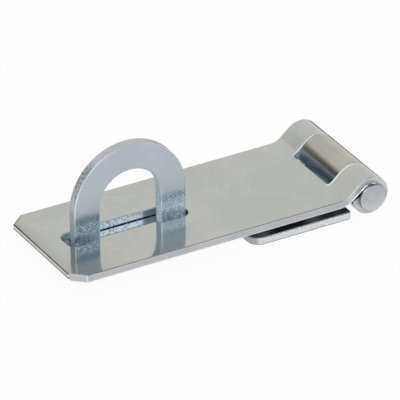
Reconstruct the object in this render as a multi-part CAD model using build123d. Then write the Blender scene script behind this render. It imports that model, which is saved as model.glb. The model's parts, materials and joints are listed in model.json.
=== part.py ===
from build123d import *

import math
import os

# Safety hasp with concealed screws, shut over its staple.
# Millimetres. +X runs from the strap's free end to the hinge, +Y is along the hinge pin,
# and +Z is away from the surface that the leaf and the staple are screwed to.
# The origin is on that surface, under the middle of the whole set.

# Sheet
strap_width = 45.0
sheet = 2.5
edge_round = 0.35
edge_break = 0.3

# Hinge
pin_diameter = 8.0
pin_play = 0.05
head_flare = 0.9
head_rim = 0.3
head_edge = 0.4
head_gap = 0.4
ramp_angle = 40.0
bend_radius = 6.0
curl_gap = 0.3
curl_end_turn = 42.0
window_width = 22.4
window_clearance = 2.8
window_corner = 0.8
tongue_side_gap = 0.3
tongue_tip_angle = 210.0

# Strap
corner_along = 4.8
corner_across = 4.2
free_end_bevel = 0.8
slot_corner = 3.0
slot_bead_clearance = 2.15
slot_swing_clearance = 2.17
slot_hinge_clearance = 0.3
slot_end_margin = 8.8

# Staple
plate_sheet = 4.5
loop_sheet = 3.7
strap_rest_gap = 0.3
loop_eye_width = 22.2
loop_leg_width = 9.15
loop_height = 32.5
plate_width = 26.0
plate_corner = 3.0
plate_end_margin = 6.25
bead_flat = 0.6
bead_round = 0.8
bead_reach = 0.8
bead_height = 2.4
bead_slope = 0.7

# Leaf
leaf_length = 36.6
leaf_corner = 4.0
leaf_hinge_corner = 1.5
leaf_curl_gap = 1.45
leaf_plate_gap = 6.83

# Countersunk screw holes
hole_diameter = 5.0
sink_land = 0.3
leaf_hole_margin_x = 8.8
leaf_hole_margin_y = 9.5
plate_hole_margin_x = 7.0
plate_hole_margin_y = 5.2

# Sections and levels that follow from the sizes above
bore_radius = pin_diameter / 2 + pin_play
eye_radius = bore_radius + sheet
pin_z = eye_radius
strap_bottom = max(plate_sheet, sheet) + strap_rest_gap
strap_top = strap_bottom + sheet
loop_radius = loop_eye_width / 2 + loop_leg_width
loop_center_z = plate_sheet + loop_height - loop_radius
plate_length = 2 * (loop_radius + plate_end_margin)
slot_width = loop_sheet + 2 * (bead_reach + slot_bead_clearance)

# Reaches from the pin's axis towards the free end, in the order in which the pieces follow
leaf_stop_reach = math.sqrt((eye_radius + leaf_curl_gap) ** 2 - (pin_z - sheet) ** 2)
leaf_start_reach = leaf_stop_reach + leaf_length
loop_reach = leaf_start_reach + leaf_plate_gap + plate_length / 2
swing_radius = math.hypot(loop_reach, loop_center_z - pin_z) + loop_radius
slot_start_reach = swing_radius + slot_swing_clearance
slot_stop_reach = loop_reach - loop_radius - slot_hinge_clearance
free_end_reach = slot_start_reach + slot_end_margin

# Stations along X, with the whole set centred on the origin
pin_x = (free_end_reach - eye_radius) / 2
free_end_x = pin_x - free_end_reach
hinge_end_x = pin_x + eye_radius
leaf_x = pin_x - (leaf_start_reach + leaf_stop_reach) / 2
loop_x = pin_x - loop_reach


def on_eye(radius, angle):
    """A point of the XZ plane at this radius and angle about the pin's axis."""
    turn = math.radians(angle)
    return (pin_x + radius * math.cos(turn), pin_z + radius * math.sin(turn))


def prism(outline, width):
    """A solid with this outline in the XZ plane, centred on Y = 0."""
    face = Plane.XZ * make_face(outline)
    return extrude(face, amount=width / 2, both=True)


def flat_plate(plan, center_x, thickness):
    """A plate of this plan that lies on the mounting surface, with a broken upper rim."""
    plate = extrude(Pos(center_x, 0, 0) * plan, amount=thickness)
    return chamfer(plate.faces().sort_by(Axis.Z)[-1].edges(), edge_break)


def screw_holes(center_x, pitch_x, pitch_y, top):
    """Cutters for four countersunk holes whose cones open at the height top."""
    radius = hole_diameter / 2
    sink_depth = sheet - sink_land
    drill = Pos(0, 0, top / 2) * Cylinder(radius, top)
    cone = Pos(0, 0, top - sink_depth / 2) * Cone(radius, radius + sink_depth, sink_depth)
    cutter = drill + cone
    return [Pos(center_x, 0, 0) * place * cutter for place in GridLocations(pitch_x, pitch_y, 2, 2)]


def hasp_strap():
    """Chamfered strap with a slot for the loop, a ramp and two rolled eyes beside a window."""
    rise = math.radians(ramp_angle)
    tangent_angle = 90 + ramp_angle
    ramp_high = on_eye(eye_radius, tangent_angle)
    ramp_high_under = on_eye(bore_radius, tangent_angle)
    crease_x = ramp_high[0] - (ramp_high[1] - strap_top) / math.tan(rise)
    bend_x = crease_x - bend_radius * math.tan(rise / 2)
    bend_center = (bend_x, strap_top + bend_radius)
    bend = CenterArc(bend_center, bend_radius, -90, ramp_angle)
    bend_under = CenterArc(bend_center, bend_radius + sheet, -90, ramp_angle)

    # The curl's outer corner ends a small gap below the ramp's underside.
    tip_outer = tangent_angle + math.degrees(math.acos((bore_radius - curl_gap) / eye_radius)) - 360
    tip_inner = tangent_angle + curl_end_turn - 360
    curl = CenterArc((pin_x, pin_z), eye_radius, tangent_angle, tip_outer - tangent_angle)
    curl_inside = CenterArc((pin_x, pin_z), bore_radius, tangent_angle, tip_inner - tangent_angle)

    outline = [
        Line((free_end_x, strap_top), (bend_x, strap_top)),
        bend,
        Line(bend @ 1, ramp_high),
        curl,
        Line(curl @ 1, curl_inside @ 1),
        curl_inside,
        Line(ramp_high_under, bend_under @ 1),
        bend_under,
        Line((bend_x, strap_bottom), (free_end_x, strap_bottom)),
        Line((free_end_x, strap_bottom), (free_end_x, strap_top)),
    ]
    strap = prism(outline, strap_width)

    free_end = strap.faces().sort_by(Axis.X)[0]
    strap = chamfer(free_end.edges().filter_by(Axis.Z), corner_across, corner_along, reference=free_end)
    lower_edge = strap.faces().sort_by(Axis.X)[0].edges().sort_by(Axis.Z)[0]
    strap = chamfer(lower_edge, free_end_bevel)
    slot_length = slot_start_reach - slot_stop_reach
    slot_x = pin_x - (slot_start_reach + slot_stop_reach) / 2
    slot = extrude(RectangleRounded(slot_length, slot_width, slot_corner), amount=2 * strap_top)
    strap -= Pos(slot_x, 0, 0) * slot

    # The rounding runs round the slot and the free end, and on along the ramp and the curl.
    top = strap.faces().filter_by(Plane.XY).sort_by(Axis.Z)[-1]
    strap = fillet(top.edges().sort_by(Axis.X)[:-1], edge_round)

    window_length = 2 * (2 * eye_radius + window_clearance)
    window = extrude(RectangleRounded(window_length, window_width, window_corner), amount=2 * pin_z)
    return strap - Pos(hinge_end_x, 0, 0) * window


def hinge_leaf():
    """Screwed leaf whose centre tongue is rolled up around the pin between the strap's eyes."""
    plan = Rectangle(leaf_length, strap_width)
    plan = fillet(plan.vertices().group_by(Axis.X)[0], leaf_corner)
    plan = fillet(plan.vertices().group_by(Axis.X)[-1], leaf_hinge_corner)
    plate = flat_plate(plan, leaf_x, sheet)

    sweep = tongue_tip_angle + 90
    roll = CenterArc((pin_x, pin_z), eye_radius, -90, sweep)
    roll_inside = CenterArc((pin_x, pin_z), bore_radius, -90, sweep)
    outline = [
        Line((leaf_x, 0), (pin_x, 0)),
        roll,
        Line(roll @ 1, roll_inside @ 1),
        roll_inside,
        Line((pin_x, sheet), (leaf_x, sheet)),
        Line((leaf_x, sheet), (leaf_x, 0)),
    ]
    tongue = prism(outline, window_width - 2 * tongue_side_gap)
    pitch_x = leaf_length - 2 * leaf_hole_margin_x
    pitch_y = strap_width - 2 * leaf_hole_margin_y
    return plate + tongue - screw_holes(leaf_x, pitch_x, pitch_y, sheet)


def hinge_pin():
    """Plain pin with an upset head outside each of the strap's eyes."""
    shank = pin_diameter / 2
    head = shank + head_flare
    seat_y = strap_width / 2 + head_gap
    flare_y = seat_y + head_flare
    rim_y = flare_y + head_rim
    crown_y = rim_y + head_edge
    half = [(0, 0), (shank, 0), (shank, seat_y), (head, flare_y)]
    half += [(head, rim_y), (head - head_edge, crown_y), (0, crown_y)]
    side = revolve(make_face(Polyline(*half, close=True)), Axis.Y)
    return Pos(pin_x, 0, pin_z) * (side + mirror(side, Plane.XZ))


def staple_plate():
    """Thick plate under the strap that carries the loop."""
    plan = RectangleRounded(plate_length, plate_width, plate_corner)
    plate = flat_plate(plan, loop_x, plate_sheet)
    pitch_x = plate_length - 2 * plate_hole_margin_x
    pitch_y = plate_width - 2 * plate_hole_margin_y
    return plate - screw_holes(loop_x, pitch_x, pitch_y, plate_sheet)


def staple_loop():
    """Flat arched loop for the padlock, welded upright on the staple's plate."""
    eye_side = loop_eye_width / 2
    crown = CenterArc((loop_x, loop_center_z), loop_radius, 0, 180)
    eye = CenterArc((loop_x, loop_center_z), eye_side, 0, 180)
    foot_left = (loop_x - loop_radius, plate_sheet)
    foot_right = (loop_x + loop_radius, plate_sheet)
    outline = [
        Line(foot_right, crown @ 0),
        crown,
        Line(crown @ 1, foot_left),
        Line(foot_left, (loop_x - eye_side, plate_sheet)),
        Line((loop_x - eye_side, plate_sheet), eye @ 1),
        eye,
        Line(eye @ 0, (loop_x + eye_side, plate_sheet)),
        Line((loop_x + eye_side, plate_sheet), foot_right),
    ]
    loop = prism(outline, loop_sheet)
    faces = loop.faces().group_by(Axis.Y)
    rims = (faces[0].edges() + faces[-1].edges()).group_by(Axis.Z)[1:]
    loop = chamfer([edge for rim in rims for edge in rim], edge_break)

    # A weld bead wraps the outer corner of each foot and slopes in at its top.
    bead_length = bead_flat + 2 * bead_round
    bead = Box(bead_length, loop_sheet + 2 * bead_reach, bead_height)
    bead = fillet(bead.edges().filter_by(Axis.Z), bead_round)
    bead = chamfer(bead.faces().sort_by(Axis.Z)[-1].edges(), bead_slope)
    bead_z = plate_sheet + bead_height / 2
    for side in (-1, 1):
        loop += Pos(loop_x + side * (loop_radius - bead_length / 2), 0, bead_z) * bead
    return loop


PIECES = (hasp_strap, hinge_leaf, hinge_pin, staple_plate, staple_loop)

os.makedirs("parts", exist_ok=True)
for piece in PIECES:
    export_step(piece(), f"parts/{piece.__name__}.step")
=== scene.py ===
import json
import math
from collections import namedtuple

import bpy
from mathutils import Matrix, Vector


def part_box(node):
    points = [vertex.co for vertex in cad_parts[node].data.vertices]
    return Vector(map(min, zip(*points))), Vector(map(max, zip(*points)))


# Safety hasp in bright zinc-plated steel, shut over its staple, on a white studio floor.
# Metres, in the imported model's frame: +X from the strap's free end to the hinge, +Z up.

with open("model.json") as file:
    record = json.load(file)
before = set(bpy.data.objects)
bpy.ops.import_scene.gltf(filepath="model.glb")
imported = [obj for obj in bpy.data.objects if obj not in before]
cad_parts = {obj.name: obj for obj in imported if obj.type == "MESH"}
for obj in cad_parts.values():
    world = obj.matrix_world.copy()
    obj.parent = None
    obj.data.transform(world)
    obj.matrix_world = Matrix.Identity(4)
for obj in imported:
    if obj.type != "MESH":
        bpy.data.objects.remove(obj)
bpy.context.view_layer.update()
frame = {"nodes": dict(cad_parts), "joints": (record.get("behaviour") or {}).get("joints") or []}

MM = 0.001

# Camera, fitted to the photograph's edges: a long lens aimed near the strap's middle
IMAGE_SIZE = 400
SENSOR = 36.0
CAMERA_AZIMUTH = math.radians(-29.30)
CAMERA_ELEVATION = math.radians(29.61)
CAMERA_ROLL = math.radians(-0.57)
CAMERA_DISTANCE = 2.0
CAMERA_FOCAL_PIXELS = 6218.6
CAMERA_TARGET = Vector((2.37, 0.0, 7.3)) * MM
CAMERA_OFFSET_RIGHT = 1.48 * MM
CAMERA_OFFSET_UP = -0.50 * MM

# Levels and stations of the metalwork, read from the frame
STRAP_LOW, STRAP_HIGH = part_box("hasp_strap")
LEAF_LOW, LEAF_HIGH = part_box("hinge_leaf")
LOOP_LOW, LOOP_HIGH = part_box("staple_loop")
_, PLATE_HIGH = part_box("staple_plate")
_, PIN_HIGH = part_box("hinge_pin")


def points_of(node):
    """The points of a node's mesh."""
    return [vertex.co for vertex in frame["nodes"][node].data.vertices]


PIN_X, _, PIN_Z = frame["joints"][0]["pos_m"]
PIN_HEAD_RADIUS = PIN_HIGH.z - PIN_Z
EYE_RADIUS = STRAP_HIGH.x - PIN_X
strap_points = points_of("hasp_strap")
flat_points = [p for p in strap_points if p.x < 0]
STRAP_TOP = max(p.z for p in flat_points)
STRAP_BOTTOM = min(p.z for p in flat_points)
BORE_RADIUS = EYE_RADIUS - (STRAP_TOP - STRAP_BOTTOM)
slot_points = [p for p in flat_points if abs(p.y) < 10 * MM and p.z < STRAP_BOTTOM + 0.1 * MM]
SLOT_HALF = max(abs(p.y) for p in slot_points)
SLOT_X = min(p.x for p in slot_points)
window_points = [p for p in strap_points if p.x > PIN_X - 2 * EYE_RADIUS and abs(p.y) < 15 * MM]
WINDOW_HALF = max(abs(p.y) for p in window_points)
WINDOW_X = min(p.x for p in window_points)
leaf_points = points_of("hinge_leaf")
LEAF_TOP = max(p.z for p in leaf_points if p.x < LEAF_LOW.x + 5 * MM)
loop_points = points_of("staple_loop")
LOOP_X = (LOOP_LOW.x + LOOP_HIGH.x) / 2
LOOP_HALF = max(abs(p.y) for p in loop_points if p.z > STRAP_TOP)
LOOP_EYE_HALF = min(abs(p.x - LOOP_X) for p in loop_points if p.z < STRAP_TOP)
LOOP_EYE_STOP_X = LOOP_X + LOOP_EYE_HALF

# Directions down the strap's ramp and straight out of its upper face
RAMP_ANGLE = math.radians(40)
DOWN_RAMP = (-math.cos(RAMP_ANGLE), 0.0, -math.sin(RAMP_ANGLE))
OUT_OF_RAMP = (-math.sin(RAMP_ANGLE), 0.0, math.cos(RAMP_ANGLE))

# Finishes, as linear colours
# Near-white painted highlight for rubbed edges, burrs and rims, partly wear
EDGE_HIGHLIGHT = (0.940, 0.950, 0.955)
STRAP_ZINC = (0.480, 0.494, 0.488)
STRAP_ZINC_DULL = (0.440, 0.456, 0.452)
STRAP_SCUFF = (0.360, 0.370, 0.360)
# Painted shade: a darker reflection on the strap's top near the free end
STRAP_TOP_SHADE = (0.390, 0.402, 0.392)
SIDE_ZINC = (0.515, 0.520, 0.545)
SIDE_ZINC_DULL = (0.455, 0.465, 0.490)
# Free end painted paler than the sides, as painted light
END_LIT_ZINC = (0.600, 0.600, 0.590)
END_LIT_ZINC_DULL = (0.510, 0.510, 0.505)
# Painted dark lines on the free end: shade low down, a dark reflection along the top
END_LOW_SHADE = (0.100, 0.098, 0.090)
END_TOP_REFLECTION = (0.120, 0.116, 0.106)
# Painted lighter eye faces, and a painted highlight round the bore
EYE_LIT_ZINC = (0.600, 0.620, 0.640)
EYE_BORE_HIGHLIGHT = (0.700, 0.720, 0.740)
WINDOW_ZINC = (0.720, 0.800, 0.860)
WINDOW_ZINC_DULL = (0.560, 0.650, 0.720)
SLOT_CUT = (0.500, 0.585, 0.640)
# Painted white glints on the slot's grain
SLOT_GLINT = (1.000, 1.000, 1.000)
# Painted shade on the slot wall beside the loop's leg
SLOT_LEG_SHADE = (0.330, 0.370, 0.395)
SLOT_PLAIN = (0.640, 0.750, 0.810)
LOOP_ZINC = (0.520, 0.560, 0.610)
LOOP_ZINC_DULL = (0.480, 0.520, 0.570)
LOOP_ZINC_LEG = (0.545, 0.590, 0.630)
LOOP_CUT = (0.520, 0.620, 0.720)
LOOP_CUT_BRIGHT = (0.640, 0.740, 0.840)
LOOP_OUTSIDE = (0.200, 0.222, 0.238)
LOOP_OUTSIDE_BRIGHT = (0.500, 0.540, 0.565)
LOOP_SIDE = (0.440, 0.470, 0.510)
LOOP_CROWN = (0.460, 0.465, 0.480)
# Painted dark reflection as the loop's thin outline
LOOP_OUTLINE_REFLECTION = (0.150, 0.160, 0.168)
FOOT_SMOKE = (0.440, 0.530, 0.590)
FOOT_SMOKE_PALE = (0.820, 0.910, 0.970)
FOOT_LOW = (0.560, 0.680, 0.790)
FOOT_DARK = (0.240, 0.300, 0.345)
# Painted glints on the feet
FOOT_GLINT = (0.880, 0.960, 1.000)
WELD_ZINC = (0.240, 0.290, 0.330)
LEAF_ZINC = (0.480, 0.600, 0.680)
LEAF_ZINC_DULL = (0.430, 0.540, 0.620)
# Painted shade on the leaf's top near its long edges, under the strap
LEAF_EDGE_SHADE = (0.300, 0.350, 0.390)
LEAF_CUT = (0.620, 0.625, 0.640)
LEAF_CUT_BRIGHT = (0.800, 0.805, 0.815)
# Painted contact shade at the foot of the leaf's sides
LEAF_CUT_CONTACT_SHADE = (0.300, 0.300, 0.310)
# Painted darker reflection on the leaf's free end
LEAF_END_REFLECTION = (0.430, 0.420, 0.480)
TONGUE_ZINC = (0.450, 0.440, 0.410)
TONGUE_ZINC_DULL = (0.410, 0.400, 0.375)
TONGUE_STREAK = (0.330, 0.320, 0.295)
# Painted shade low on the tongue's roll
TONGUE_LOW_SHADE = (0.400, 0.390, 0.360)
PLATE_ZINC = (0.800, 0.850, 0.880)
PLATE_ZINC_DULL = (0.740, 0.790, 0.820)
# Painted shade down the plate's middle between the loop's feet
PLATE_MIDDLE_SHADE = (0.460, 0.475, 0.480)
PLATE_SHADE = (0.400, 0.460, 0.490)
# Painted shade inside the plate's holes
PLATE_HOLE_SHADE = (0.200, 0.235, 0.250)
PIN_ZINC = (0.540, 0.560, 0.580)
PIN_ZINC_DULL = (0.440, 0.455, 0.470)
# Painted shade on the pin heads' rims and painted shadow on their necks
PIN_RIM_SHADE = (0.200, 0.204, 0.210)
PIN_NECK_SHADE = (0.030, 0.032, 0.035)

# Share of mirror in a finish: plain plating is all mirror, and rough or rubbed metal scatters more
MIRROR = 1.0
LOOP_MIRROR = 0.25
SIDE_MIRROR = 0.55
ROUGH_MIRROR = 0.3
SLOT_MIRROR = 0.9

# Roughness: one value, or the spread between the glossiest and the dullest spots
STRAP_ROUGHNESS = (0.07, 0.11)
SIDE_ROUGHNESS = (0.26, 0.34)
END_ROUGHNESS = (0.20, 0.30)
WINDOW_ROUGHNESS = (0.20, 0.30)
LOOP_ROUGHNESS = (0.34, 0.44)
FOOT_ROUGHNESS = (0.24, 0.44)
LEAF_ROUGHNESS = (0.34, 0.42)
TONGUE_ROUGHNESS = (0.13, 0.19)
PLATE_ROUGHNESS = (0.05, 0.10)
PIN_ROUGHNESS = (0.22, 0.30)
CUT_ROUGHNESS = (0.26, 0.48)
HIGHLIGHT_ROUGHNESS = 0.20
BURR_HIGHLIGHT_ROUGHNESS = 0.15

# Rounding that the edges are shaded with
FACE_ROUNDING = 0.25 * MM
SIDE_ROUNDING = 0.60 * MM
EYE_ROUNDING = 0.20 * MM
WINDOW_ROUNDING_FAR = 0.70 * MM
WINDOW_ROUNDING_NEAR = 1.40 * MM
LOOP_ROUNDING = 0.30 * MM
LEAF_ROUNDING = 0.35 * MM
PLATE_ROUNDING = 0.35 * MM
PIN_ROUNDING = 0.30 * MM
BEVEL_SAMPLES = 6

# Marks in the finishes: sizes, depths, strengths and how far they are drawn out along an axis
CLOUD_SIZE = 14 * MM
WAVE_SIZE = 9 * MM
WAVE_DEPTH = 0.010 * MM
GRAIN_SIZE = 1.6 * MM
GRAIN_DEPTH = 0.0008 * MM
GRAIN_STRENGTH = 0.10
SCUFF_SIZE = 2.2 * MM
SCUFF_STRENGTH = 0.5
CORNER_SHADE_STRENGTH = 0.7
SCRATCHES = ((6 * MM, math.radians(55)), (5 * MM, math.radians(-35)))
SCRATCH_SLIMNESS = 0.035
SCRATCH_SPACING = 2.2
SCRATCH_STRENGTH = 0.6
SMOKE_SIZE = 3 * MM
SMOKE_SWAY = 1.2 * MM
PIT_SIZE = 0.38 * MM
PIT_DEPTH = 0.05 * MM
PIT_BAND_STRENGTH = 0.08
SPECK_SIZE = 0.42 * MM
STREAK_SIZE = 0.5 * MM
STREAK_STRENGTH = 0.35
PIN_CLOUD_SIZE = 4 * MM
PIN_CLOUD_SWAY = 3 * MM
LOOP_RIM_HIGHLIGHT = (0.15, 0.50)
ALONG_X = (1.8, 1.0, 1.0)
ALONG_Y = (1.0, 2.0, 1.0)
ALONG_Z = (1.0, 1.0, 1.6)
ALONG_PIN = (1.0, 16.0, 1.0)

# Limits between which a noise turns from no mark to a full one
CLOUD_LIMITS = (0.35, 0.65)
CUT_LIMITS = (0.42, 0.60)
SLOT_LIMITS = (0.44, 0.50)
SCUFF_LIMITS = (0.66, 0.76)
SCRATCH_LIMITS = (0.62, 0.68)
SCRATCHED_PATCH_LIMITS = (0.56, 0.62)
PIT_LIMITS = (0.50, 0.36)
SPECK_LIMITS = (0.52, 0.62)
STREAK_LIMITS = (0.45, 0.70)

# Limits between which a face counts as turned one way, or a rounded edge as turned from its face
SIDE_TURN = (0.55, 0.80)
UPRIGHT_TURN = (0.45, 0.25)
EDGE_TURN = (0.995, 0.96)
FINE_EDGE_TURN = (0.9995, 0.985)
END_TURN = (0.40, 0.50)
LEAF_END_TURN = (0.45, 0.65)
LOOP_CUT_TURN = (0.60, 0.40)
LOOP_CROWN_TURN = (0.65, 0.90)
LOOP_RIM_TURN = (0.50, 0.60)
LOOP_OFF_FACE_TURN = (0.90, 0.80)
LOOP_OUTLINE_TURN = (0.90, 0.60)
WELD_TURN = (0.15, 0.35)

# Places of the first input, the second input and the output that a mix node uses for a kind of value
MIX_SOCKETS = {"FLOAT": (2, 3, 0), "VECTOR": (4, 5, 1), "RGBA": (6, 7, 2)}


class Graph:
    """A node tree with short calls for the few nodes that these finishes use."""

    def __init__(self, tree):
        self.tree = tree
        tree.nodes.clear()

    def node(self, kind, settings=None, **inputs):
        """Adds a node. An input is named with _ for a space, and takes a socket or a constant."""
        made = self.tree.nodes.new(kind)
        for name, value in (settings or {}).items():
            setattr(made, name, value)
        for name, value in inputs.items():
            self.feed(made.inputs[name.replace("_", " ")], value)
        return made

    def feed(self, socket, value):
        """Links a socket to an input, or sets the input to a constant."""
        if isinstance(value, bpy.types.NodeSocket):
            self.tree.links.new(value, socket)
        elif socket.type == "RGBA":
            socket.default_value = (*value, 1.0)
        else:
            socket.default_value = value

    def fill(self, made, values):
        """Feeds a node's first inputs in their order, and returns the node."""
        for socket, value in zip(made.inputs, values):
            self.feed(socket, value)
        return made

    def math(self, operation, *values):
        """A sum on numbers."""
        made = self.node("ShaderNodeMath", {"operation": operation})
        return self.fill(made, values).outputs[0]

    def vector(self, operation, *values):
        """A sum on vectors. A dot product and a length are numbers, and the others are vectors."""
        made = self.node("ShaderNodeVectorMath", {"operation": operation})
        result = "Value" if operation in ("DOT_PRODUCT", "LENGTH") else "Vector"
        return self.fill(made, values).outputs[result]

    def both(self, *masks):
        """1 where every mask is 1."""
        result = masks[0]
        for mask in masks[1:]:
            result = self.math("MULTIPLY", result, mask)
        return result

    def either(self, first, second):
        """1 where one of two masks is 1."""
        return self.math("MAXIMUM", first, second)

    def faint(self, mask, share):
        """A mask that reaches this share instead of 1."""
        return self.math("MULTIPLY", mask, share)

    def away(self, value, middle):
        """How far a value is from a middle one, on both sides."""
        return self.math("ABSOLUTE", self.math("SUBTRACT", value, middle))

    def ramp(self, value, low, high):
        """0 below low, 1 above high, smooth between. A falling ramp has low above high."""
        made = self.node("ShaderNodeMapRange", {"interpolation_type": "SMOOTHSTEP"}, Value=value)
        flip = low > high
        made.inputs["From Min"].default_value = min(low, high)
        made.inputs["From Max"].default_value = max(low, high)
        made.inputs["To Min"].default_value = 1.0 if flip else 0.0
        made.inputs["To Max"].default_value = 0.0 if flip else 1.0
        return made.outputs["Result"]

    def above(self, value, level, fade):
        """0 up to a level, and 1 from fade above it."""
        return self.ramp(value, level, level + fade)

    def below(self, value, level, fade):
        """0 down to a level, and 1 from fade below it."""
        return self.ramp(value, level, level - fade)

    def span(self, value, low, high):
        """Scales a 0 to 1 value to the span from low to high."""
        made = self.node("ShaderNodeMapRange", Value=value, To_Min=low, To_Max=high)
        return made.outputs["Result"]

    def between(self, kind, factor, first, second):
        """The first value where the factor is 0, and the second where it is 1."""
        first_input, second_input, output = MIX_SOCKETS[kind]
        made = self.node("ShaderNodeMix", {"data_type": kind})
        self.feed(made.inputs[0], factor)
        self.feed(made.inputs[first_input], first)
        self.feed(made.inputs[second_input], second)
        return made.outputs[output]

    def mix(self, factor, first, second):
        """A colour between two colours."""
        return self.between("RGBA", factor, first, second)

    def blend(self, factor, first, second):
        """A number between two numbers."""
        return self.between("FLOAT", factor, first, second)

    def noise(self, coords, size, detail=2.0, rough=0.5, stretch=(1.0, 1.0, 1.0)):
        """Noise with features of about this size, drawn out along an axis by stretch."""
        scale = tuple(1.0 / (size * factor) for factor in stretch)
        place = self.node("ShaderNodeMapping", Vector=coords, Scale=scale).outputs[0]
        made = self.node("ShaderNodeTexNoise", Vector=place, Scale=1.0, Detail=detail, Roughness=rough)
        return made.outputs[0]

    def bump(self, height, distance, normal):
        """A normal that is tilted by a relief of this height."""
        made = self.node("ShaderNodeBump", Height=height, Distance=distance, Normal=normal)
        return made.outputs[0]


class Material(Graph):
    """The nodes of a new material."""

    def __init__(self, name):
        self.material = bpy.data.materials.new(name)
        self.material.use_nodes = True
        super().__init__(self.material.node_tree)

    def output(self, shader):
        """The material, with this shader at its end."""
        self.node("ShaderNodeOutputMaterial", Surface=shader)
        return self.material


Surface = namedtuple("Surface", "colour roughness normal mirror")


class Metal(Material):
    """A metal finish: its coordinates, its masks and the shader at the end."""

    def __init__(self, name, rounding):
        super().__init__(name)
        coords = self.node("ShaderNodeTexCoord")
        self.coords = coords.outputs["Object"]
        self.x, self.y, self.z = self.node("ShaderNodeSeparateXYZ", Vector=self.coords).outputs
        self.aside = self.math("ABSOLUTE", self.y)
        facing = self.node("ShaderNodeSeparateXYZ", Vector=coords.outputs["Normal"]).outputs
        self.facing_x, self.facing_y, self.facing_z = [self.math("ABSOLUTE", part) for part in facing]
        self.side = self.ramp(self.facing_y, *SIDE_TURN)
        self.upright = self.ramp(self.facing_z, *UPRIGHT_TURN)
        self.bevel = self.node("ShaderNodeBevel", {"samples": BEVEL_SAMPLES}, Radius=rounding)
        self.rounded = self.bevel.outputs[0]
        self.true = self.node("ShaderNodeNewGeometry").outputs["Normal"]

    def finish(self, surface):
        """The finished material with this surface."""
        shader = self.node("ShaderNodeBsdfPrincipled")
        self.feed(shader.inputs["Base Color"], surface.colour)
        self.feed(shader.inputs["Roughness"], surface.roughness)
        self.feed(shader.inputs["Normal"], surface.normal)
        self.feed(shader.inputs["Metallic"], surface.mirror)
        return self.output(shader.outputs[0])

    def plated(self, bright, dull, roughness, mirror=MIRROR):
        """Rolled and plated face: cloudy colour, uneven gloss and a faint waviness."""
        cloud = self.noise(self.coords, CLOUD_SIZE, detail=3.0)
        grain = self.noise(self.coords, GRAIN_SIZE, detail=3.0, rough=0.6)
        colour = self.mix(self.ramp(cloud, *CLOUD_LIMITS), bright, dull)
        colour = self.mix(self.faint(grain, GRAIN_STRENGTH), colour, dull)
        wave = self.noise(self.coords, WAVE_SIZE, detail=1.0)
        normal = self.bump(wave, WAVE_DEPTH, self.rounded)
        normal = self.bump(grain, GRAIN_DEPTH, normal)
        return Surface(colour, self.span(cloud, *roughness), normal, mirror)

    def sheared(self, dark, bright, size, depth, along, mirror=MIRROR, grains=CUT_LIMITS):
        """Cut edge: bright grains of this size and depth, drawn out along the cut."""
        grain = self.noise(self.coords, size, detail=3.0, rough=0.65, stretch=along)
        colour = self.mix(self.ramp(grain, *grains), dark, bright)
        normal = self.bump(grain, depth, self.rounded)
        return Surface(colour, self.span(grain, *CUT_ROUGHNESS), normal, mirror)

    def scratched(self, surface, length, turn, colour):
        """Fine lines of about this length, few and far between, at this turn from X."""
        place = self.node(
            "ShaderNodeMapping",
            {"vector_type": "TEXTURE"},
            Vector=self.coords,
            Rotation=(0.0, 0.0, turn),
            Scale=(length, SCRATCH_SLIMNESS * length, length),
        ).outputs[0]
        lines = self.noise(place, 1.0, detail=1.0)
        few = self.noise(place, SCRATCH_SPACING, stretch=(1.0, 1.0 / SCRATCH_SLIMNESS, 1.0))
        mask = self.both(self.ramp(lines, *SCRATCH_LIMITS), self.ramp(few, *SCRATCHED_PATCH_LIMITS))
        return self.stained(self.faint(mask, SCRATCH_STRENGTH), surface, colour)

    def edges(self, turn=EDGE_TURN):
        """1 along edges, where the rounded normal leaves the face's own."""
        return self.ramp(self.vector("DOT_PRODUCT", self.true, self.rounded), *turn)

    def leaning(self, towards):
        """The face's own normal, tilted half way towards a direction."""
        return self.vector("NORMALIZE", self.vector("ADD", self.true, towards))

    def from_pin(self):
        """The way straight out from the pin's axis, in the node's own frame."""
        offset = self.vector("SUBTRACT", self.coords, (PIN_X, 0.0, PIN_Z))
        return self.vector("MULTIPLY", offset, (1.0, 0.0, 1.0))

    def turned(self, direction):
        """A direction of the node's own frame in the frame of the normals, at length 1."""
        settings = {"vector_type": "VECTOR", "convert_from": "OBJECT", "convert_to": "WORLD"}
        world = self.node("ShaderNodeVectorTransform", settings, Vector=direction).outputs[0]
        return self.vector("NORMALIZE", world)

    def turned_down(self):
        """1 where the rounded normal doesn't face up."""
        height = self.node("ShaderNodeSeparateXYZ", Vector=self.rounded).outputs[2]
        return self.ramp(height, *UPRIGHT_TURN)

    def painted_rub_highlight(self, mask, surface):
        """Paints a bright highlight on a surface where the mask is 1, partly edge wear and partly painted
        highlight.
        """
        return self.join(mask, surface, Surface(EDGE_HIGHLIGHT, HIGHLIGHT_ROUGHNESS, surface.normal, MIRROR))

    def burr_highlight(self, mask, surface, towards):
        """A shiny burr that leans towards a direction where the mask is 1, with a painted highlight as
        its colour.
        """
        painted_edge_line = Surface(EDGE_HIGHLIGHT, BURR_HIGHLIGHT_ROUGHNESS, self.leaning(towards), MIRROR)
        return self.join(mask, surface, painted_edge_line)

    def stained(self, mask, surface, colour):
        """Gives a surface this colour where the mask is 1."""
        return surface._replace(colour=self.mix(mask, surface.colour, colour))

    def join(self, mask, first, second):
        """The first surface where the mask is 0, and the second where it is 1."""
        colour = self.mix(mask, first.colour, second.colour)
        roughness = self.blend(mask, first.roughness, second.roughness)
        normal = first.normal
        if second.normal != first.normal:
            normal = self.between("VECTOR", mask, first.normal, second.normal)
        mirror = first.mirror
        if second.mirror != first.mirror:
            mirror = self.blend(mask, first.mirror, second.mirror)
        return Surface(colour, roughness, normal, mirror)


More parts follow.
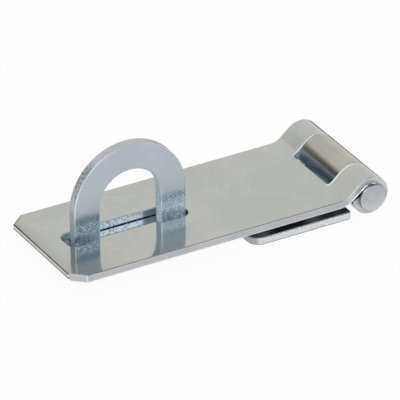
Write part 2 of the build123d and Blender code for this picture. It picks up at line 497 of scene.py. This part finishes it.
def round_strap(metal, at_end, at_eye, at_window):
    """Rounds the strap's edges finely at its faces and eyes, and wider at its sides, end and window."""
    radius = metal.span(metal.side, FACE_ROUNDING, SIDE_ROUNDING)
    radius = metal.blend(at_end, radius, SIDE_ROUNDING)
    radius = metal.blend(at_eye, radius, EYE_ROUNDING)
    near_side = metal.below(metal.y, 1 * MM, 2 * MM)
    at_rim = metal.span(near_side, WINDOW_ROUNDING_FAR, WINDOW_ROUNDING_NEAR)
    metal.feed(metal.bevel.inputs["Radius"], metal.blend(at_window, radius, at_rim))


def strap_face(metal):
    """Soft mirror of the strap's faces, scuffed and scratched, with painted shade towards the free end
    and its near corner.
    """
    face = metal.plated(STRAP_ZINC, STRAP_ZINC_DULL, STRAP_ROUGHNESS)
    scuff = metal.noise(metal.coords, SCUFF_SIZE, detail=3.0, rough=0.6)
    scuffed = metal.faint(metal.ramp(scuff, *SCUFF_LIMITS), SCUFF_STRENGTH)
    face = metal.stained(scuffed, face, STRAP_SCUFF)
    # Painted shade: a darker reflection near the free end and the near corner
    at_end = metal.below(metal.x, STRAP_LOW.x + 5.5 * MM, 5 * MM)
    near_corner = metal.both(
        metal.below(metal.x, STRAP_LOW.x + 28 * MM, 20 * MM),
        metal.ramp(metal.y, 0.0, STRAP_LOW.y + 4 * MM),
    )
    painted_top_shade = metal.either(at_end, metal.faint(near_corner, CORNER_SHADE_STRENGTH))
    face = metal.stained(painted_top_shade, face, STRAP_TOP_SHADE)
    for length, turn in SCRATCHES:
        face = metal.scratched(face, length, turn, STRAP_SCUFF)
    return face


def strap_eyes(metal, at_eye, surface):
    """Makes the eyes' end faces matt and painted paler, with a painted highlight round the bore."""
    off_pin = metal.vector("LENGTH", metal.from_pin())
    near_bore = metal.ramp(off_pin, EYE_RADIUS - 0.3 * MM, BORE_RADIUS + 0.9 * MM)
    # Painted lighter eye faces, with a painted highlight round the bore
    surface = metal.stained(at_eye, surface, EYE_LIT_ZINC)
    surface = metal.stained(metal.both(at_eye, near_bore), surface, EYE_BORE_HIGHLIGHT)
    return surface._replace(mirror=metal.blend(at_eye, surface.mirror, ROUGH_MIRROR))


def bore_highlight(metal, at_eye, surface):
    """A burr round the bore, painted as a white highlight, which runs on along the ramp's underside."""
    outward = metal.from_pin()
    on_ramp = metal.ramp(metal.vector("DOT_PRODUCT", outward, DOWN_RAMP), -0.01 * MM, 0.01 * MM)
    off_ramp = metal.vector("DOT_PRODUCT", outward, OUT_OF_RAMP)
    off_axis = metal.blend(on_ramp, metal.vector("LENGTH", outward), off_ramp)
    rim = metal.both(
        at_eye,
        metal.above(off_axis, BORE_RADIUS - 0.1 * MM, 0.1 * MM),
        metal.below(off_axis, BORE_RADIUS + 0.5 * MM, 0.15 * MM),
    )
    return metal.burr_highlight(rim, surface, metal.turned(outward))


def end_lines(metal, surface):
    """Two painted dark lines across the free end: painted shade low down and a painted dark reflection
    along the top.
    """
    at_front = metal.below(metal.x, STRAP_LOW.x + 0.35 * MM, 0.1 * MM)
    low_painted_shade = metal.both(at_front, metal.below(metal.z, STRAP_BOTTOM + 1.35 * MM, 0.15 * MM))
    painted_edge_line = metal.both(at_front, metal.above(metal.z, STRAP_TOP - 0.35 * MM, 0.1 * MM))
    surface = metal.stained(low_painted_shade, surface, END_LOW_SHADE)
    return metal.stained(painted_edge_line, surface, END_TOP_REFLECTION)


def slot_cut(metal):
    """Punched wall of the slot with painted white glints on its grain, painted shade beside the loop's
    leg, and plain towards the free end.
    """
    cut = metal.sheared(
        SLOT_CUT, SLOT_GLINT, size=0.8 * MM, depth=0.12 * MM, along=ALONG_Z,
        mirror=SLOT_MIRROR, grains=SLOT_LIMITS,
    )
    # Painted shade beside the loop's leg
    cut = metal.stained(metal.above(metal.x, LOOP_EYE_STOP_X - 4 * MM, 2 * MM), cut, SLOT_LEG_SHADE)
    return metal.stained(metal.below(metal.x, SLOT_X + 5 * MM, 1 * MM), cut, SLOT_PLAIN)


def strap_metal():
    """Soft mirror of a rolled strap, with smooth trimmed edges and a punched slot, painted highlights on
    its rubbed edges, window rim and bore, painted paler end and eyes, and painted dark lines at the free
    end.
    """
    metal = Metal("strap_zinc", FACE_ROUNDING)
    at_end = metal.below(metal.x, STRAP_LOW.x + 7 * MM, 1 * MM)
    at_eye = metal.both(metal.side, metal.above(metal.x, PIN_X - 1.5 * EYE_RADIUS, 0.5 * EYE_RADIUS))
    at_window = metal.both(
        metal.above(metal.x, WINDOW_X - 2 * MM, 1 * MM),
        metal.below(metal.aside, WINDOW_HALF + 3 * MM, 1 * MM),
        metal.above(metal.aside, WINDOW_HALF - 0.8 * MM, 0.5 * MM),
    )
    flat_part = metal.below(metal.x, PIN_X - 2.2 * EYE_RADIUS, 0.1 * EYE_RADIUS)
    flat_edge = metal.both(metal.upright, flat_part)
    round_strap(metal, at_end, at_eye, at_window)

    trimmed = metal.plated(SIDE_ZINC, SIDE_ZINC_DULL, SIDE_ROUGHNESS, SIDE_MIRROR)
    surface = metal.join(metal.either(metal.side, flat_edge), strap_face(metal), trimmed)
    surface = strap_eyes(metal, at_eye, surface)
    # The free end and its chamfers painted paler than the sides, as painted light
    end = metal.plated(END_LIT_ZINC, END_LIT_ZINC_DULL, END_ROUGHNESS)
    surface = metal.join(metal.both(metal.ramp(metal.facing_x, *END_TURN), at_end), surface, end)
    # Painted highlight along the rounded edges that face down, partly edge wear
    surface = metal.painted_rub_highlight(metal.both(metal.edges(), metal.turned_down()), surface)
    # Painted highlight on the window's rim, on a burr that leans with the rounding
    window_rim = metal.both(metal.edges(FINE_EDGE_TURN), at_window)
    surface = metal.burr_highlight(window_rim, surface, metal.rounded)
    surface = bore_highlight(metal, at_eye, surface)
    surface = end_lines(metal, surface)

    window_wall = metal.both(metal.side, metal.below(metal.aside, WINDOW_HALF + 0.3 * MM, 0.2 * MM))
    window_cut = metal.plated(WINDOW_ZINC, WINDOW_ZINC_DULL, WINDOW_ROUGHNESS, ROUGH_MIRROR)
    surface = metal.join(window_wall, surface, window_cut)
    slot_wall = metal.both(
        flat_edge,
        metal.above(metal.x, STRAP_LOW.x + 2 * MM, 1 * MM),
        metal.below(metal.aside, SLOT_HALF + 0.3 * MM, 0.2 * MM),
    )
    return metal.finish(metal.join(slot_wall, surface, slot_cut(metal)))


def loop_face(metal):
    """Satin faces of the loop, smoky and pitted where its feet were welded, with painted glints among the
    pits.
    """
    face = metal.plated(LOOP_ZINC, LOOP_ZINC_DULL, LOOP_ROUGHNESS, LOOP_MIRROR)
    face = metal.stained(metal.below(metal.z, LOOP_HIGH.z - 6 * MM, 12 * MM), face, LOOP_ZINC_LEG)
    patch = metal.noise(metal.coords, SMOKE_SIZE, detail=2.0)
    pits = metal.noise(metal.coords, PIT_SIZE, detail=2.0, rough=0.6)
    specks = metal.noise(metal.coords, SPECK_SIZE, detail=1.0, rough=0.5, stretch=ALONG_X)
    level = metal.math("ADD", metal.z, metal.span(patch, -SMOKE_SWAY, SMOKE_SWAY))
    smoky = metal.below(level, STRAP_TOP + 11 * MM, 5 * MM)
    right_leg = metal.above(metal.x, LOOP_X, 5 * MM)

    smoke = metal.mix(metal.above(metal.x, LOOP_X - 5 * MM, 10 * MM), FOOT_SMOKE, FOOT_SMOKE_PALE)
    smoke = metal.mix(metal.below(level, STRAP_TOP + 3 * MM, 1.5 * MM), smoke, FOOT_LOW)
    colour = metal.mix(smoky, face.colour, smoke)
    band = metal.both(
        metal.below(level, STRAP_TOP + 9 * MM, 1 * MM),
        metal.above(level, STRAP_TOP + 4.5 * MM, 2 * MM),
    )
    deep = metal.math("SUBTRACT", pits, metal.faint(band, PIT_BAND_STRENGTH))
    colour = metal.mix(metal.both(smoky, metal.ramp(deep, *PIT_LIMITS)), colour, FOOT_DARK)
    # Painted glints among the pits
    painted_glints = metal.both(
        metal.below(level, STRAP_TOP + 7 * MM, 3 * MM),
        metal.either(right_leg, metal.above(level, STRAP_TOP + 1 * MM, 1.5 * MM)),
        metal.ramp(specks, *SPECK_LIMITS),
    )
    colour = metal.mix(painted_glints, colour, FOOT_GLINT)
    matt = metal.both(right_leg, metal.below(level, STRAP_TOP + 4 * MM, 1.5 * MM))
    foot = Surface(
        colour,
        metal.span(pits, *FOOT_ROUGHNESS),
        metal.bump(pits, PIT_DEPTH, metal.rounded),
        metal.span(matt, MIRROR, SIDE_MIRROR),
    )
    return metal.join(smoky, face, foot)


def loop_cut(metal):
    """Cut edge of the loop: pale in the eye, darker and granular outside, grey where it lies level."""
    cut = metal.sheared(
        LOOP_CUT, LOOP_CUT_BRIGHT, size=0.75 * MM, depth=0.05 * MM, along=ALONG_Y,
        mirror=LOOP_MIRROR,
    )
    outside = metal.sheared(
        LOOP_OUTSIDE, LOOP_OUTSIDE_BRIGHT, size=0.6 * MM, depth=0.05 * MM, along=ALONG_Y,
        mirror=LOOP_MIRROR,
    )
    outside = metal.stained(metal.below(metal.z, LOOP_HIGH.z - 14 * MM, 4 * MM), outside, LOOP_SIDE)
    beyond_eye = metal.above(metal.away(metal.x, LOOP_X), LOOP_EYE_HALF + 0.3 * MM, 1.7 * MM)
    cut = metal.join(beyond_eye, cut, outside)
    return metal.stained(metal.ramp(metal.facing_z, *LOOP_CROWN_TURN), cut, LOOP_CROWN)


def loop_metal():
    """Satin bluish loop with painted highlights on its rubbed rims and a painted dark outline, on welded
    feet.
    """
    metal = Metal("loop_zinc", LOOP_ROUNDING)
    surface = metal.join(metal.ramp(metal.facing_y, *LOOP_CUT_TURN), loop_face(metal), loop_cut(metal))
    off_face = metal.ramp(metal.facing_y, *LOOP_OFF_FACE_TURN)
    rim = metal.both(
        metal.ramp(metal.facing_y, *LOOP_RIM_TURN),
        off_face,
        metal.below(metal.aside, LOOP_HALF + 0.1 * MM, 0.1 * MM),
    )
    # Painted highlight on the loop's rims, stronger low down, partly wear
    rim_highlight_share = metal.span(metal.below(metal.z, LOOP_HIGH.z - 8 * MM, 6 * MM), *LOOP_RIM_HIGHLIGHT)
    surface = metal.painted_rub_highlight(metal.both(rim, rim_highlight_share), surface)
    # Painted dark reflection as a thin outline along the far rims
    outline = metal.both(
        metal.above(metal.y, LOOP_HALF - 0.5 * MM, 0.15 * MM),
        off_face,
        metal.ramp(metal.facing_z, *LOOP_OUTLINE_TURN),
    )
    surface = metal.stained(outline, surface, LOOP_OUTLINE_REFLECTION)
    weld = metal.both(metal.below(metal.z, STRAP_TOP, 0.3 * MM), metal.ramp(metal.facing_z, *WELD_TURN))
    return metal.finish(metal.stained(weld, surface, WELD_ZINC))


def leaf_metal():
    """Bluish leaf under the strap, with painted shade near its long edges, a warmer tongue darkened low
    down by painted shade, and granular trimmed sides with painted shade at their foot and a painted
    darker reflection on the free end.
    """
    metal = Metal("leaf_zinc", LEAF_ROUNDING)
    flat = metal.plated(LEAF_ZINC, LEAF_ZINC_DULL, LEAF_ROUGHNESS)
    # Painted shade along the leaf's long edges, under the strap
    flat = metal.stained(metal.above(metal.aside, LEAF_HIGH.y - 6 * MM, 3 * MM), flat, LEAF_EDGE_SHADE)
    tongue = metal.plated(TONGUE_ZINC, TONGUE_ZINC_DULL, TONGUE_ROUGHNESS)
    streaks = metal.noise(metal.coords, STREAK_SIZE, detail=2.0, stretch=ALONG_PIN)
    streaked = metal.faint(metal.ramp(streaks, *STREAK_LIMITS), STREAK_STRENGTH)
    tongue = metal.stained(streaked, tongue, TONGUE_STREAK)
    # Painted shade low on the tongue's roll
    tongue = metal.stained(metal.below(metal.z, LEAF_HIGH.z - 1 * MM, 1.9 * MM), tongue, TONGUE_LOW_SHADE)
    surface = metal.join(metal.above(metal.z, LEAF_HIGH.z - 4.1 * MM, 0.8 * MM), flat, tongue)

    cut = metal.sheared(
        LEAF_CUT, LEAF_CUT_BRIGHT, size=0.5 * MM, depth=0.012 * MM, along=ALONG_Z,
        mirror=SIDE_MIRROR,
    )
    # Painted contact shade along the foot of the trimmed sides
    cut = metal.stained(metal.below(metal.z, 0.35 * MM, 0.15 * MM), cut, LEAF_CUT_CONTACT_SHADE)
    free_end = metal.both(
        metal.ramp(metal.facing_x, *LEAF_END_TURN),
        metal.below(metal.x, LEAF_LOW.x + 5 * MM, 1 * MM),
    )
    # Painted darker reflection on the leaf's free end
    cut = metal.stained(free_end, cut, LEAF_END_REFLECTION)
    low_edge = metal.both(metal.upright, metal.below(metal.z, LEAF_TOP + 0.2 * MM, 0.2 * MM))
    return metal.finish(metal.join(metal.either(metal.side, low_edge), surface, cut))


def plate_metal():
    """Bright flat mirror with trimmed sides, painted shade down the middle between the loop's feet and in
    its holes.
    """
    metal = Metal("plate_zinc", PLATE_ROUNDING)
    face = metal.plated(PLATE_ZINC, PLATE_ZINC_DULL, PLATE_ROUGHNESS)
    # Painted shade down the middle between the loop's feet
    face = metal.stained(metal.below(metal.aside, 1.6 * MM, 0.6 * MM), face, PLATE_MIDDLE_SHADE)
    face = metal.stained(metal.below(metal.x, LOOP_LOW.x + 2 * MM, 2 * MM), face, PLATE_SHADE)
    cut = metal.sheared(LEAF_CUT, LEAF_CUT_BRIGHT, size=0.75 * MM, depth=0.06 * MM, along=ALONG_Z)
    # Painted shade on the walls inside the holes
    bored = metal.both(
        metal.below(metal.aside, PLATE_HIGH.y - 0.2 * MM, 0.2 * MM),
        metal.below(metal.away(metal.x, LOOP_X), PLATE_HIGH.x - LOOP_X - 0.2 * MM, 0.2 * MM),
    )
    cut = metal.stained(bored, cut, PLATE_HOLE_SHADE)
    return metal.finish(metal.join(metal.upright, face, cut))


def pin_metal():
    """Satin upset heads, painted paler low down, with painted shade on their rims and painted shadow on
    the necks behind them.
    """
    metal = Metal("pin_zinc", PIN_ROUNDING)
    surface = metal.plated(PIN_ZINC, PIN_ZINC_DULL, PIN_ROUGHNESS)
    cloud = metal.noise(metal.coords, PIN_CLOUD_SIZE, detail=1.0)
    level = metal.math("ADD", metal.z, metal.span(cloud, -PIN_CLOUD_SWAY, PIN_CLOUD_SWAY))
    # Painted light: paler low down and duller high up
    high = metal.above(level, PIN_Z - 4 * MM, 6 * MM)
    surface = surface._replace(colour=metal.mix(high, PIN_ZINC, PIN_ZINC_DULL))
    off_pin = metal.vector("LENGTH", metal.from_pin())
    # Painted shade on the rim and painted shadow on the neck behind the head
    surface = metal.stained(metal.above(off_pin, PIN_HEAD_RADIUS - 0.25 * MM, 0.1 * MM), surface, PIN_RIM_SHADE)
    neck = metal.below(metal.aside, STRAP_HIGH.y + 1.3 * MM, 0.8 * MM)
    return metal.finish(metal.stained(neck, surface, PIN_NECK_SHADE))


def dress(node, material):
    """Gives a node of the frame its finish."""
    slots = frame["nodes"][node].data.materials
    slots.clear()
    slots.append(material)


dress("hasp_strap", strap_metal())
dress("staple_loop", loop_metal())
dress("hinge_leaf", leaf_metal())
dress("staple_plate", plate_metal())
dress("hinge_pin", pin_metal())


# Studio: white floor and surroundings, with dark and tinted cards that only reflections see
FLOOR_SIZE = 4.0
FLOOR_COLOUR = (0.92, 0.92, 0.92)
FLOOR_GLOW = 0.95
SKY_COLOUR = (1.0, 1.0, 1.0)
FILL_STRENGTH = 0.85
SOFTBOX_SIZE = 0.5
SOFTBOX_PLACE = Vector((-0.61, -0.85, 0.78))
SOFTBOX_POWER = 1.5
RING_RADIUS = 1.3
RING_HEIGHT = 1.1
RING_SIDES = 48
RING_FRONT = (0.80, 0.93, 1.00)
RING_BACK = (1.0, 0.985, 0.93)
RING_FADE = 0.3
DARK_CARD_LEFT = Vector((-0.085, 0.054, 0.0))
DARK_CARD_RIGHT = Vector((0.001, 0.127, 0.0))
DARK_CARD_HEIGHT = 0.095
DARK_CARD_FADE_HEIGHT = 0.040
DARK_CARD_FADE_X = -0.037
DARK_CARD_COLOUR = (0.150, 0.143, 0.128)
BACK_CARD_TOWARDS = Vector((0.493, 0.870, 0.0))
BACK_CARD_NEAR = [
    Vector((-0.030, 0.027, 0.0001)),
    Vector((0.062, 0.027, 0.0001)),
    Vector((0.064, -0.030, 0.0001)),
]
BACK_CARD_REACH = 0.25
BACK_CARD_HEIGHT = 0.040
BACK_CARD_COLOUR = (0.28, 0.28, 0.28)
CEILING_HEIGHT = 1.15
CEILING_LEFT = 0.2
CEILING_RIGHT = 1.3
CEILING_FRONT = -1.0
CEILING_BACK = 0.35
CEILING_COLOUR = (0.07, 0.07, 0.075)


class Stage(Material):
    """The material of a stage object."""

    def place(self):
        """The X, Y and Z of the shaded point."""
        coords = self.node("ShaderNodeTexCoord").outputs["Object"]
        return self.node("ShaderNodeSeparateXYZ", Vector=coords).outputs

    def glow(self, colour):
        """A shader that shines with this colour."""
        return self.node("ShaderNodeEmission", Color=colour, Strength=1.0).outputs[0]

    def mix_shaders(self, factor, first, second):
        """The first shader where the factor is 0, and the second where it is 1."""
        return self.fill(self.node("ShaderNodeMixShader"), (factor, first, second)).outputs[0]


def seen_directly(graph):
    """1 for rays that look at a surface straight, in a mirror or through glass."""
    path = graph.node("ShaderNodeLightPath")
    seen = graph.either(path.outputs["Is Camera Ray"], path.outputs["Is Glossy Ray"])
    return graph.either(seen, path.outputs["Is Transmission Ray"])


def stage_mesh(name, corners, faces, material):
    """A stage object, which isn't part of the hasp."""
    mesh = bpy.data.meshes.new(name)
    mesh.from_pydata(corners, [], faces)
    mesh.materials.append(material)
    made = bpy.data.objects.new(name, mesh)
    bpy.context.scene.collection.objects.link(made)
    return made


def reflected_only(card):
    """Leaves a card to reflections: it is not seen straight, casts no shadow and lights nothing matt."""
    card.visible_camera = False
    card.visible_diffuse = False
    card.visible_shadow = False
    card.visible_transmission = False


def build_floor():
    """White floor that looks bright itself, and takes soft shadows."""
    stage = Stage("floor_white")
    matt = stage.node("ShaderNodeBsdfDiffuse", Color=FLOOR_COLOUR).outputs[0]
    bright = stage.faint(seen_directly(stage), FLOOR_GLOW)
    shader = stage.mix_shaders(bright, matt, stage.glow(SKY_COLOUR))
    half = FLOOR_SIZE / 2
    corners = [(-half, -half, 0), (half, -half, 0), (half, half, 0), (-half, half, 0)]
    stage_mesh("floor", corners, [(0, 1, 2, 3)], stage.output(shader))


def build_ring():
    """Bright surroundings, bluish in front and warm behind."""
    stage = Stage("ring_card")
    _, y, _ = stage.place()
    colour = stage.mix(stage.ramp(y, RING_FADE, -RING_FADE), RING_BACK, RING_FRONT)
    corners = []
    for height in (0.0, RING_HEIGHT):
        for i in range(RING_SIDES):
            turn = 2 * math.pi * i / RING_SIDES
            corners.append((RING_RADIUS * math.cos(turn), RING_RADIUS * math.sin(turn), height))
    faces = []
    for i in range(RING_SIDES):
        after = (i + 1) % RING_SIDES
        faces.append((i, after, after + RING_SIDES, i + RING_SIDES))
    reflected_only(stage_mesh("ring_card", corners, faces, stage.output(stage.glow(colour))))


def build_dark_card():
    """Low brown card behind the free end, which fades out upwards and towards the hinge."""
    stage = Stage("dark_card")
    x, _, z = stage.place()
    fade = stage.either(
        stage.ramp(z, DARK_CARD_FADE_HEIGHT, DARK_CARD_HEIGHT),
        stage.ramp(x, DARK_CARD_FADE_X, DARK_CARD_RIGHT.x),
    )
    clear = stage.node("ShaderNodeBsdfTransparent").outputs[0]
    shader = stage.mix_shaders(fade, stage.glow(DARK_CARD_COLOUR), clear)
    rise = Vector((0.0, 0.0, DARK_CARD_HEIGHT))
    corners = [DARK_CARD_LEFT, DARK_CARD_RIGHT, DARK_CARD_RIGHT + rise, DARK_CARD_LEFT + rise]
    reflected_only(stage_mesh("dark_card", corners, [(0, 1, 2, 3)], stage.output(shader)))


def build_back_card():
    """Dark card on the floor behind the hinge, turned up at its end, for thin dark outlines."""
    stage = Stage("back_card")
    far = [near + BACK_CARD_TOWARDS * BACK_CARD_REACH for near in BACK_CARD_NEAR]
    high = [corner + Vector((0.0, 0.0, BACK_CARD_HEIGHT)) for corner in far]
    faces = [(0, 1, 4, 3), (1, 2, 5, 4), (3, 4, 7, 6), (4, 5, 8, 7)]
    material = stage.output(stage.glow(BACK_CARD_COLOUR))
    reflected_only(stage_mesh("back_card", BACK_CARD_NEAR + far + high, faces, material))


def build_ceiling():
    """Dark card overhead on the right, which draws thin dark lines along the rounded edges."""
    stage = Stage("ceiling_card")
    corners = [
        (CEILING_LEFT, CEILING_FRONT, CEILING_HEIGHT),
        (CEILING_RIGHT, CEILING_FRONT, CEILING_HEIGHT),
        (CEILING_RIGHT, CEILING_BACK, CEILING_HEIGHT),
        (CEILING_LEFT, CEILING_BACK, CEILING_HEIGHT),
    ]
    material = stage.output(stage.glow(CEILING_COLOUR))
    reflected_only(stage_mesh("ceiling_card", corners, [(0, 1, 2, 3)], material))


def build_world():
    """White surroundings, a little weaker as light than as they look."""
    world = bpy.data.worlds.new("studio")
    world.use_nodes = True
    graph = Graph(world.node_tree)
    strength = graph.span(seen_directly(graph), FILL_STRENGTH, 1.0)
    sky = graph.node("ShaderNodeBackground", Color=SKY_COLOUR, Strength=strength)
    graph.node("ShaderNodeOutputWorld", Surface=sky.outputs[0])
    bpy.context.scene.world = world


def build_softbox():
    """Weak large lamp from the front left, aimed at the hasp."""
    light = bpy.data.lights.new("softbox", "AREA")
    light.size = SOFTBOX_SIZE
    light.energy = SOFTBOX_POWER
    softbox = bpy.data.objects.new("softbox", light)
    softbox.location = SOFTBOX_PLACE
    softbox.rotation_euler = (CAMERA_TARGET - SOFTBOX_PLACE).to_track_quat("-Z", "Y").to_euler()
    bpy.context.scene.collection.objects.link(softbox)


def build_camera():
    """The camera at the photograph's angle."""
    level = math.cos(CAMERA_ELEVATION)
    back = Vector((
        math.sin(CAMERA_AZIMUTH) * level,
        -math.cos(CAMERA_AZIMUTH) * level,
        math.sin(CAMERA_ELEVATION),
    ))
    right = Vector((math.cos(CAMERA_AZIMUTH), math.sin(CAMERA_AZIMUTH), 0.0))
    right = Matrix.Rotation(CAMERA_ROLL, 3, back) @ right
    up = back.cross(right)
    data = bpy.data.cameras.new("camera")
    data.sensor_width = SENSOR
    data.lens = SENSOR * CAMERA_FOCAL_PIXELS / IMAGE_SIZE
    camera = bpy.data.objects.new("camera", data)
    place = CAMERA_TARGET - right * CAMERA_OFFSET_RIGHT - up * CAMERA_OFFSET_UP + back * CAMERA_DISTANCE
    camera.matrix_world = Matrix.Translation(place) @ Matrix((right, up, back)).transposed().to_4x4()
    bpy.context.scene.collection.objects.link(camera)
    bpy.context.scene.camera = camera


build_floor()
build_ring()
build_dark_card()
build_back_card()
build_ceiling()
build_world()
build_softbox()
build_camera()
bpy.context.scene.view_settings.view_transform = "Standard"
